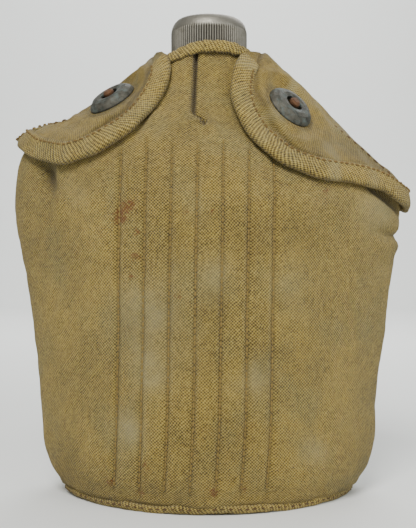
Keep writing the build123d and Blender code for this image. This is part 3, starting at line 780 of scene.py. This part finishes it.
def flap_tape(name, side, edge, seed):
    """Tape over a flap's free edge, closed at both ends."""
    path = free_edge(side, edge, 420)
    if side < 0:
        path = path[::-1]
    spine, normal = cover_at(path[:, 0], path[:, 1], np.full(len(path), TAPE_LIFT))
    ahead, across = frame_along(spine, normal)
    run = lengths_along(spine[:, None], 0)[:, 0]
    spine = spine - across * (TAPE_HALF - 0.9)
    ends = np.minimum(run, run[-1] - run)
    taper = np.sqrt(np.clip(ends / 3.0, 0.03, 1))
    wide = TAPE_HALF * (1 + 0.05 * waves(run, 0 * run, 17, seed)) * (0.55 + 0.45 * taper)
    high = TAPE_HIGH * (1 + 0.07 * waves(run, 0 * run, 9, seed + 1)) * taper
    # Painted shade along both side edges of the tape, where it meets the cloth.
    shade_and_stain = np.tile(0.45 * bell(np.abs(soft_section(36, 2.6)[0]) - 1, 0.16), (len(path), 1))
    marks = {"shade_and_stain": shade_and_stain, "rust": np.zeros((len(path), 36)),
             "faded": np.tile(0.5 * ease(waves(run, 0 * run, 14, seed + 2), 0, 1.2)[:, None], (1, 36))}
    body = name.split("_")[0] + "_flap_body"
    piece = sweep(name, spine, across, normal, wide, high, tape, body, marks=marks)
    return piece, spine, ahead, across, normal, run


left_tape, *left_path = flap_tape("left_flap_tape", -1, LEFT_EDGE, 71)
right_tape, *right_path = flap_tape("right_flap_tape", 1, RIGHT_EDGE, 81)
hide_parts("left_flap_binding")
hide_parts("right_flap_binding")

# %% [markdown]
# ## Collar, welt and lining
# The same sweep binds the neck hole with a narrow collar and closes the base with a welt. Inside the front
# panel lies a felt sheet that follows every dent of the canvas, so that it never shows through.

# %% Collar, welt and felt
def ring(name, z, lift, half_width, half_height, material, seed, count=900, tilt=0.0):
    """Closed tape round the whole cover at a height that may change with direction."""
    turn = np.linspace(0, math.tau, count, endpoint=False)
    z = z(turn)
    spine, normal = cover_at(turn, z, np.full(count, lift))
    ahead, across = frame_along(spine, normal, closed=True)
    run = lengths_along(spine[:, None], 0)[:, 0]
    rough = 1 + 0.05 * np.sin(turn * 41 + 2 * np.sin(turn * 7)) + 0.05 * np.sin(turn * 23 + seed)
    # Painted shade along the ring's lower edge, where it meets the cloth.
    shade_and_stain = np.tile(0.6 * bell(soft_section(36, 2.6)[0] + 1, 0.2), (count + 1, 1))
    marks = {"shade_and_stain": shade_and_stain, "rust": np.zeros((count + 1, 36)), "faded": np.full((count + 1, 36), 0.1)}
    piece = sweep(name, spine, across, normal, half_width * rough, half_height * rough, material, "cover",
                  closed=True, marks=marks)
    return piece, spine, ahead, across, normal, run


def collar_height(turn):
    return 181.5 - 4.6 * ease(np.abs(np.mod(turn + math.pi, math.tau) - math.pi - 0.1), 0.15, 1.25)


def welt_height(turn):
    return 1.9 + 0.35 * np.sin(3 * turn + 1) + 0.2 * np.sin(11 * turn)


collar, *collar_path = ring("neck_collar", collar_height, 1.2, 2.5, 1.15, tape, 3, count=500)
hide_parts("front_neck_binding", "back_neck_binding")
welt, *welt_path = ring("base_welt", welt_height, 0.1, 1.6, 1.4, tape, 5)
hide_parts("bottom_binding")

felt_material, tree, shader, where = finish("grey-brown felt", rough=1.0)
fibres = noise(tree, where, 1500, 4, 0.75)
colour_from(tree, shader, blend_colour(tree, fibres, (0.07, 0.055, 0.04), (0.20, 0.165, 0.12)))
relief(tree, shader, fibres, 0.5)


def felt_sheet():
    """Felt behind the front panel, a quarter of a millimetre inside it and dented with it."""
    z = climb(90)[:, None]
    low, high = horn_turn_at(-1, SEAM_DEPTH, z), horn_turn_at(1, SEAM_DEPTH, z)
    turn = low + (high - low) * np.linspace(0, 1, 150)[None, :]
    z = z + 0 * turn
    flat = cover_at(turn, z, np.zeros_like(z))[0]
    rise = panel_relief(flat[..., 0], flat[..., 1], z)[0]
    points = cover_at(turn, z, np.minimum(rise, 0) - 1.6)[0]
    piece = add_piece("front_felt", points, felt_material)
    thicken(piece, 1.2)
    return piece


front_felt = felt_sheet()
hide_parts("front_lining")

# %% [markdown]
# ## Stitches
# A stitch is a short, thick thread that rises out of the cloth, bends over and dives back in. Each row of
# stitches is one piece: all its stitches are computed together, by stretching one small tube along the
# seam again and again.

# %% Stitch rows
def stitches(name, spine, normal, pitch, length, radius, material, body="cover", sink=0.1, seed=1):
    """Row of stitches along a path that lies on the cloth, its heights following the normals there."""
    run = lengths_along(spine[:, None], 0)[:, 0]
    draw = np.random.default_rng(seed)
    start = np.arange(pitch * 0.6, run[-1] - pitch * 0.6, pitch)
    start = start + draw.uniform(-0.08, 0.08, len(start)) * pitch
    t = np.linspace(-1, 1, 6)
    at = start[:, None] + t[None] * length / 2

    def follow(values):
        return np.stack([np.interp(at, run, values[:, k]) for k in range(3)], axis=-1)

    middle, up = follow(spine), follow(normal)
    ahead = np.gradient(middle, axis=1)
    ahead /= np.linalg.norm(ahead, axis=-1, keepdims=True)
    across = np.cross(up, ahead)
    thick = radius * np.sqrt(np.clip(1.04 - t**4, 0.05, 1)) * draw.uniform(0.85, 1.15, (len(start), 1))
    middle = middle + up * ((1 - t**2) * radius * 1.2 - sink - radius * 0.5)[None, :, None]
    a = np.linspace(0, math.tau, 6, endpoint=False)
    wide = np.cos(a)[None, None, :, None] * thick[..., None, None]
    high = np.sin(a)[None, None, :, None] * thick[..., None, None]
    points = middle[:, :, None] + across[:, :, None] * wide + up[:, :, None] * high
    i, j = np.meshgrid(np.arange(5), np.arange(6), indexing="ij")
    i, j = i.ravel(), j.ravel()
    k = (j + 1) % 6
    one = np.stack([i * 6 + j, i * 6 + k, (i + 1) * 6 + k, (i + 1) * 6 + j], axis=1)
    lids = np.array([[0, 3, 2, 1], [0, 5, 4, 3], [30, 31, 32, 33], [30, 33, 34, 35]])
    one = np.concatenate([one, lids])
    faces = (one[None] + 36 * np.arange(len(start))[:, None, None]).reshape(-1, 4)
    mesh = bpy.data.meshes.new(name)
    mesh.from_pydata((points.reshape(-1, 3) * MM).tolist(), [], faces.tolist())
    mesh.polygons.foreach_set("use_smooth", [True] * len(mesh.polygons))
    mesh.materials.append(material)
    row = bpy.data.objects.new(name, mesh)
    bpy.context.scene.collection.objects.link(row)
    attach(row, body)
    return row


def quilting(k):
    """Stitches down one quilting line of the front."""
    z = np.linspace(LINE_FOOT, LINE_HEAD + 2.5 * math.sin(2.2 * k), 400)
    turn = front_turn_at(line_x(k, z), z)
    flat = cover_at(turn, z, np.zeros_like(z))[0]
    rise = panel_relief(flat[:, 0], flat[:, 1], z)[0]
    spine, normal = cover_at(turn, z, rise + 0.25)
    stitches(f"quilting_{k + 1}", spine, normal, 2.3, 1.9, 0.36, line_thread, seed=k)


for k in range(LINES):
    quilting(k)


def tape_stitches(name, path, body, seed):
    """Row of stitches on a flap's tape, near its inner edge."""
    spine, ahead, across, normal, run = path
    keep = (run > 4) & (run < run[-1] - 4)
    inner = spine - across * (TAPE_HALF * 0.62) + normal * (TAPE_HIGH * 0.97)
    stitches(name + "_inner", inner[keep], normal[keep], 2.7, 1.9, 0.42, brown_thread, body, seed=seed)


tape_stitches("left_tape_stitches", left_path, "left_flap_body", 11)
tape_stitches("right_tape_stitches", right_path, "right_flap_body", 12)


def ridge_stitches(name, side, z_low, z_high, snap, body, seed):
    """Dark stitches of the seam that runs up a flap's shoulder, just in front of its ridge."""
    z = np.linspace(z_low, z_high, 300)
    turn = horn_turn_at(side, -8.0 - 0.1 * (z_high - z), z)
    spine, normal = cover_at(turn, z, np.full_like(z, FLAP_TOP + 0.35))
    centre = np.array(snap[0])
    clear = np.linalg.norm(spine - centre, axis=1) > 12.5
    stitches(name, spine[clear], normal[clear], 3.6, 2.6, 0.42, dark_thread, body, seed=seed)


ridge_stitches("left_ridge_stitches", -1, 147.5, 157.5, LEFT_SNAP, "left_flap_body", 21)
ridge_stitches("right_ridge_stitches", 1, 127.5, 150.0, RIGHT_SNAP, "right_flap_body", 22)
spine, ahead, across, normal, run = welt_path
stitches("welt_stitches", spine + across * 0.9 + normal * 1.1, normal, 3.2, 2.0, 0.34, dark_thread, seed=31)

# %% [markdown]
# ## Ribbed cap
# The cap is turned metal. Its skirt has fine upright ribs for grip, a plain bevelled shoulder and a nearly
# flat crown. Inside, a helical ridge, z = z0 + pitch * turn, runs between the ridges of the neck.

# %% Cap
CAP_RIBS = 94
CAP_BASE, CAP_TOP = 176.7, 197.4
CAP_BORE_R, CAP_ROOF = 14.1, 195.15
RIDGE_BASE, RIDGE_PITCH, RIDGE_DEPTH, RIDGE_TURNS = 184.0, 4.0, 1.1, 2


def cap():
    """Cap wall as a closed band: over the crown, down the ribs, round the rim and up the threaded bore."""
    crown = [(1.55, CAP_TOP), (4, CAP_TOP - 0.02), (8, CAP_TOP - 0.1), (11, CAP_TOP - 0.35),
             (12.6, CAP_TOP - 0.75), (13.7, CAP_TOP - 1.4), (14.5, CAP_TOP - 2.3), (15.1, CAP_TOP - 3.3),
             (15.5, CAP_TOP - 4.4)]
    skirt = [(15.68, z) for z in np.concatenate([np.linspace(CAP_TOP - 5.2, CAP_TOP - 6.6, 7),
                                                 np.linspace(CAP_TOP - 8, CAP_BASE + 2, 8),
                                                 np.linspace(CAP_BASE + 1.4, CAP_BASE + 0.5, 5)])]
    rim = [(15.45, CAP_BASE + 0.15), (15.1, CAP_BASE), (14.5, CAP_BASE), (14.2, CAP_BASE + 0.15)]
    bore = [(CAP_BORE_R, z) for z in np.linspace(CAP_BASE + 0.4, CAP_ROOF - 0.2, 64)]
    roof = [(13.9, CAP_ROOF), (8, CAP_ROOF), (1.55, CAP_ROOF), (1.55, CAP_TOP)]
    profile = np.array(crown + skirt + rim + bore + roof, float)
    turn = np.linspace(0, math.tau, CAP_RIBS * 6, endpoint=False)
    r = profile[:, :1] + 0 * turn
    z = profile[:, 1:] + 0 * turn
    row = np.arange(len(profile))[:, None]
    on_skirt = (row >= len(crown)) & (row < len(crown) + len(skirt))
    window = ease(z, CAP_BASE + 0.4, CAP_BASE + 1.4) * ease(-z, -CAP_TOP + 5.0, -CAP_TOP + 6.4)
    ribs = (0.5 + 0.5 * np.cos(turn * CAP_RIBS)) ** 0.7
    r = r + on_skirt * window * (0.56 * ribs - 0.36)
    in_bore = (row >= len(crown) + len(skirt) + len(rim)) & (row < len(profile) - len(roof))
    for k in range(RIDGE_TURNS):
        off = np.abs(z - RIDGE_BASE - RIDGE_PITCH * (turn / math.tau + k))
        r = r - in_bore * RIDGE_DEPTH * np.clip((0.75 - off) / 0.5, 0, 1)
    points = np.stack([r * np.cos(turn), r * np.sin(turn), z], axis=-1)[::-1]
    # Painted shade in the grooves between the skirt's ribs.
    rib_shade = (on_skirt * window * (1 - ribs) * 0.95)[::-1]
    piece = add_piece("ribbed_cap", points, cap_metal, body="cap", around=True, marks={"shade_and_stain": rib_shade})
    weld(piece)
    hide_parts("cap_shell")


# %% [markdown]
# ## Metals and cork
# Old aluminium is pale grey, brushed by handling and stained in patches; its hollows get painted shade. The
# snaps are brass that has blackened, with blue-green bloom and brown spots. The studs inside them are rusty
# orange.

# %% Metal finishes
def metal_finish(name, colour, dark, rough=0.4, spots=0.5, scale=240, metal=1.0, fine=0.05, bloom=None):
    """Worn metal: base colour, colour of its stains (a darker share of it is the painted shade in hollows),
    their amount and size, and a coloured bloom.
    """
    material, tree, shader, where = finish(name, rough=rough, metal=metal)
    cloud = noise(tree, where, scale, 5, 0.65)
    base = blend_colour(tree, between(tree, cloud, 0.62 - 0.3 * spots, 0.90 - 0.3 * spots), colour, dark)
    # Painted shade: the mark darkens hollows, such as the cap's rib grooves.
    base = blend_colour(tree, mark(tree, "shade_and_stain"), base, tuple(c * 0.12 for c in dark))
    if bloom:
        veil = between(tree, noise(tree, where, scale * 0.7, 6, 0.7), 0.49, 0.68)
        base = blend_colour(tree, veil, base, bloom)
        tree.links.new(maths(tree, "SUBTRACT", metal, maths(tree, "MULTIPLY", veil, metal)),
                       shader.inputs["Metallic"])
    colour_from(tree, shader, base)
    worn = noise(tree, where, scale * 2.5, 3)
    tree.links.new(maths(tree, "MULTIPLY_ADD", worn, 0.35, rough - 0.15), shader.inputs["Roughness"])
    relief(tree, shader, noise(tree, where, scale * 6, 3, 0.7), fine)
    return material


cap_metal = metal_finish("worn cap aluminium", (0.235, 0.222, 0.185), (0.130, 0.118, 0.090), 0.5, 0.4, 260,
                         fine=0.08)
bottle_metal = metal_finish("spun aluminium", (0.62, 0.62, 0.60), (0.36, 0.35, 0.33), 0.40, 0.3, 90)
rivet_metal = metal_finish("rivet aluminium", (0.22, 0.21, 0.18), (0.12, 0.11, 0.09), 0.55, 0.4, 400)
plate_metal = metal_finish("tinned steel", (0.45, 0.44, 0.42), (0.20, 0.15, 0.11), 0.5, 0.4, 300)
snap_metal = metal_finish("blackened brass", (0.085, 0.080, 0.062), (0.022, 0.024, 0.019), 0.55, 0.7, 420,
                          0.7, fine=0.12, bloom=(0.060, 0.085, 0.078))
spring_metal = metal_finish("spring wire", (0.30, 0.27, 0.22), (0.10, 0.07, 0.05), 0.45, 0.5, 500)
stud_metal = metal_finish("rusty stud", (0.110, 0.050, 0.020), (0.045, 0.022, 0.010), 0.65, 0.5, 900,
                          0.5, fine=0.2)
hook_metal = metal_finish("blackened hook wire", (0.13, 0.125, 0.115), (0.07, 0.04, 0.025), 0.5, 0.4, 260,
                          fine=0.1)
cork, tree, shader, where = finish("pressed cork", rough=0.95)
grains = noise(tree, where, 900, 5, 0.7)
colour_from(tree, shader, blend_colour(tree, grains, (0.12, 0.06, 0.025), (0.42, 0.26, 0.13)))
relief(tree, shader, grains, 0.25)
flat_canvas = cloth_finish("base duck", 1.02, 0.0, 0.6, tone=0.9, upright=False)
flat_webbing = cloth_finish("upright webbing", 1.5, 0.5, 0.8, tone=0.92, upright=True)
cap()

FINISHES = {
    "bottle_shell": bottle_metal, "bottle_neck": bottle_metal,
    "cap_rivet": rivet_metal, "cap_plate": plate_metal, "cap_seal": cork,
    "back_lining": felt_material, "bottom_lining": felt_material, "bottom_panel": flat_canvas,
    "belt_hook": hook_metal, "hanger_strap": flat_webbing,
}
for hand in ("left", "right"):
    FINISHES[f"{hand}_snap_socket"] = snap_metal
    FINISHES[f"{hand}_snap_spring"] = spring_metal
    FINISHES[f"{hand}_snap_plate"] = plate_metal
    FINISHES[f"{hand}_stud"] = stud_metal
    FINISHES[f"{hand}_stud_washer"] = plate_metal
for name, material in FINISHES.items():
    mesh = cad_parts[name].data
    mesh.materials.clear()
    mesh.materials.append(material)

# %% [markdown]
# ## Stage, light and camera
# A pale sheet carries the soft shadow. The key light stands high in front, a little to the left, and a
# weaker one fills the right side. One lights the back, and one the wall that the sheet rises into. The
# camera looks level from the front, at the height of the cover's middle.

# %% Stage
def stage_sheet():
    """Floor that curves up into a backdrop."""
    t = np.linspace(0, 1, 40)
    y = np.concatenate([np.linspace(-2500, 1600, 30), 1600 + 600 * np.sin(t * math.pi / 2), [2200]])
    z = np.concatenate([np.zeros(30), 600 * (1 - np.cos(t * math.pi / 2)), [3200]])
    x = np.linspace(-3500, 3500, 12)
    points = np.stack([np.broadcast_to(x, (len(y), 12)), np.broadcast_to(y[:, None], (len(y), 12)),
                       np.broadcast_to(z[:, None] - 0.15, (len(y), 12))], axis=-1)
    material, tree, shader, where = finish("pale paper", rough=0.95)
    shades = (0.76, 0.775, 0.755), (0.80, 0.815, 0.795)
    colour_from(tree, shader, blend_colour(tree, noise(tree, where, 3), *shades))
    mesh = bpy.data.meshes.new("paper")
    corners, places = grid_faces(len(y), 12, False)
    mesh.from_pydata((points.reshape(-1, 3) * MM).tolist(), [], corners.tolist())
    mesh.polygons.foreach_set("use_smooth", [True] * len(mesh.polygons))
    mesh.materials.append(material)
    sheet = bpy.data.objects.new("paper", mesh)
    bpy.context.scene.collection.objects.link(sheet)


def area_light(name, place, target, size, watts, tint=(1, 1, 1)):
    light = bpy.data.lights.new(name, "AREA")
    light.shape = "DISK"
    light.size = size
    light.energy = watts
    light.color = tint
    lamp = bpy.data.objects.new(name, light)
    lamp.location = place
    lamp.rotation_euler = (Vector(target) - Vector(place)).to_track_quat("-Z", "Y").to_euler()
    bpy.context.scene.collection.objects.link(lamp)


stage_sheet()
area_light("key", (-0.16, -0.80, 0.85), (0, 0, 0.10), 0.45, 13.5, (1, 0.985, 0.96))
area_light("fill", (0.7, -0.7, 0.4), (0, 0, 0.08), 0.8, 4.5, (0.95, 0.98, 1))
area_light("back", (0.2, 0.6, 0.8), (0, 0, 0.12), 0.7, 5.0)
area_light("wall", (0.0, 0.9, 1.3), (0, 2.2, 0.5), 1.2, 29.0)
world = bpy.data.worlds.new("room")
world.use_nodes = True
world.node_tree.nodes["Background"].inputs[0].default_value = (0.97, 0.98, 0.97, 1)
world.node_tree.nodes["Background"].inputs[1].default_value = 0.55
bpy.context.scene.world = world

lens = bpy.data.cameras.new("camera")
lens.lens = 64.9
lens.sensor_width = 36
camera = bpy.data.objects.new("camera", lens)
camera.location = (-0.00042, -0.400, 0.0947)
camera.rotation_euler = (math.pi / 2, 0, 0)
bpy.context.scene.collection.objects.link(camera)
bpy.context.scene.camera = camera
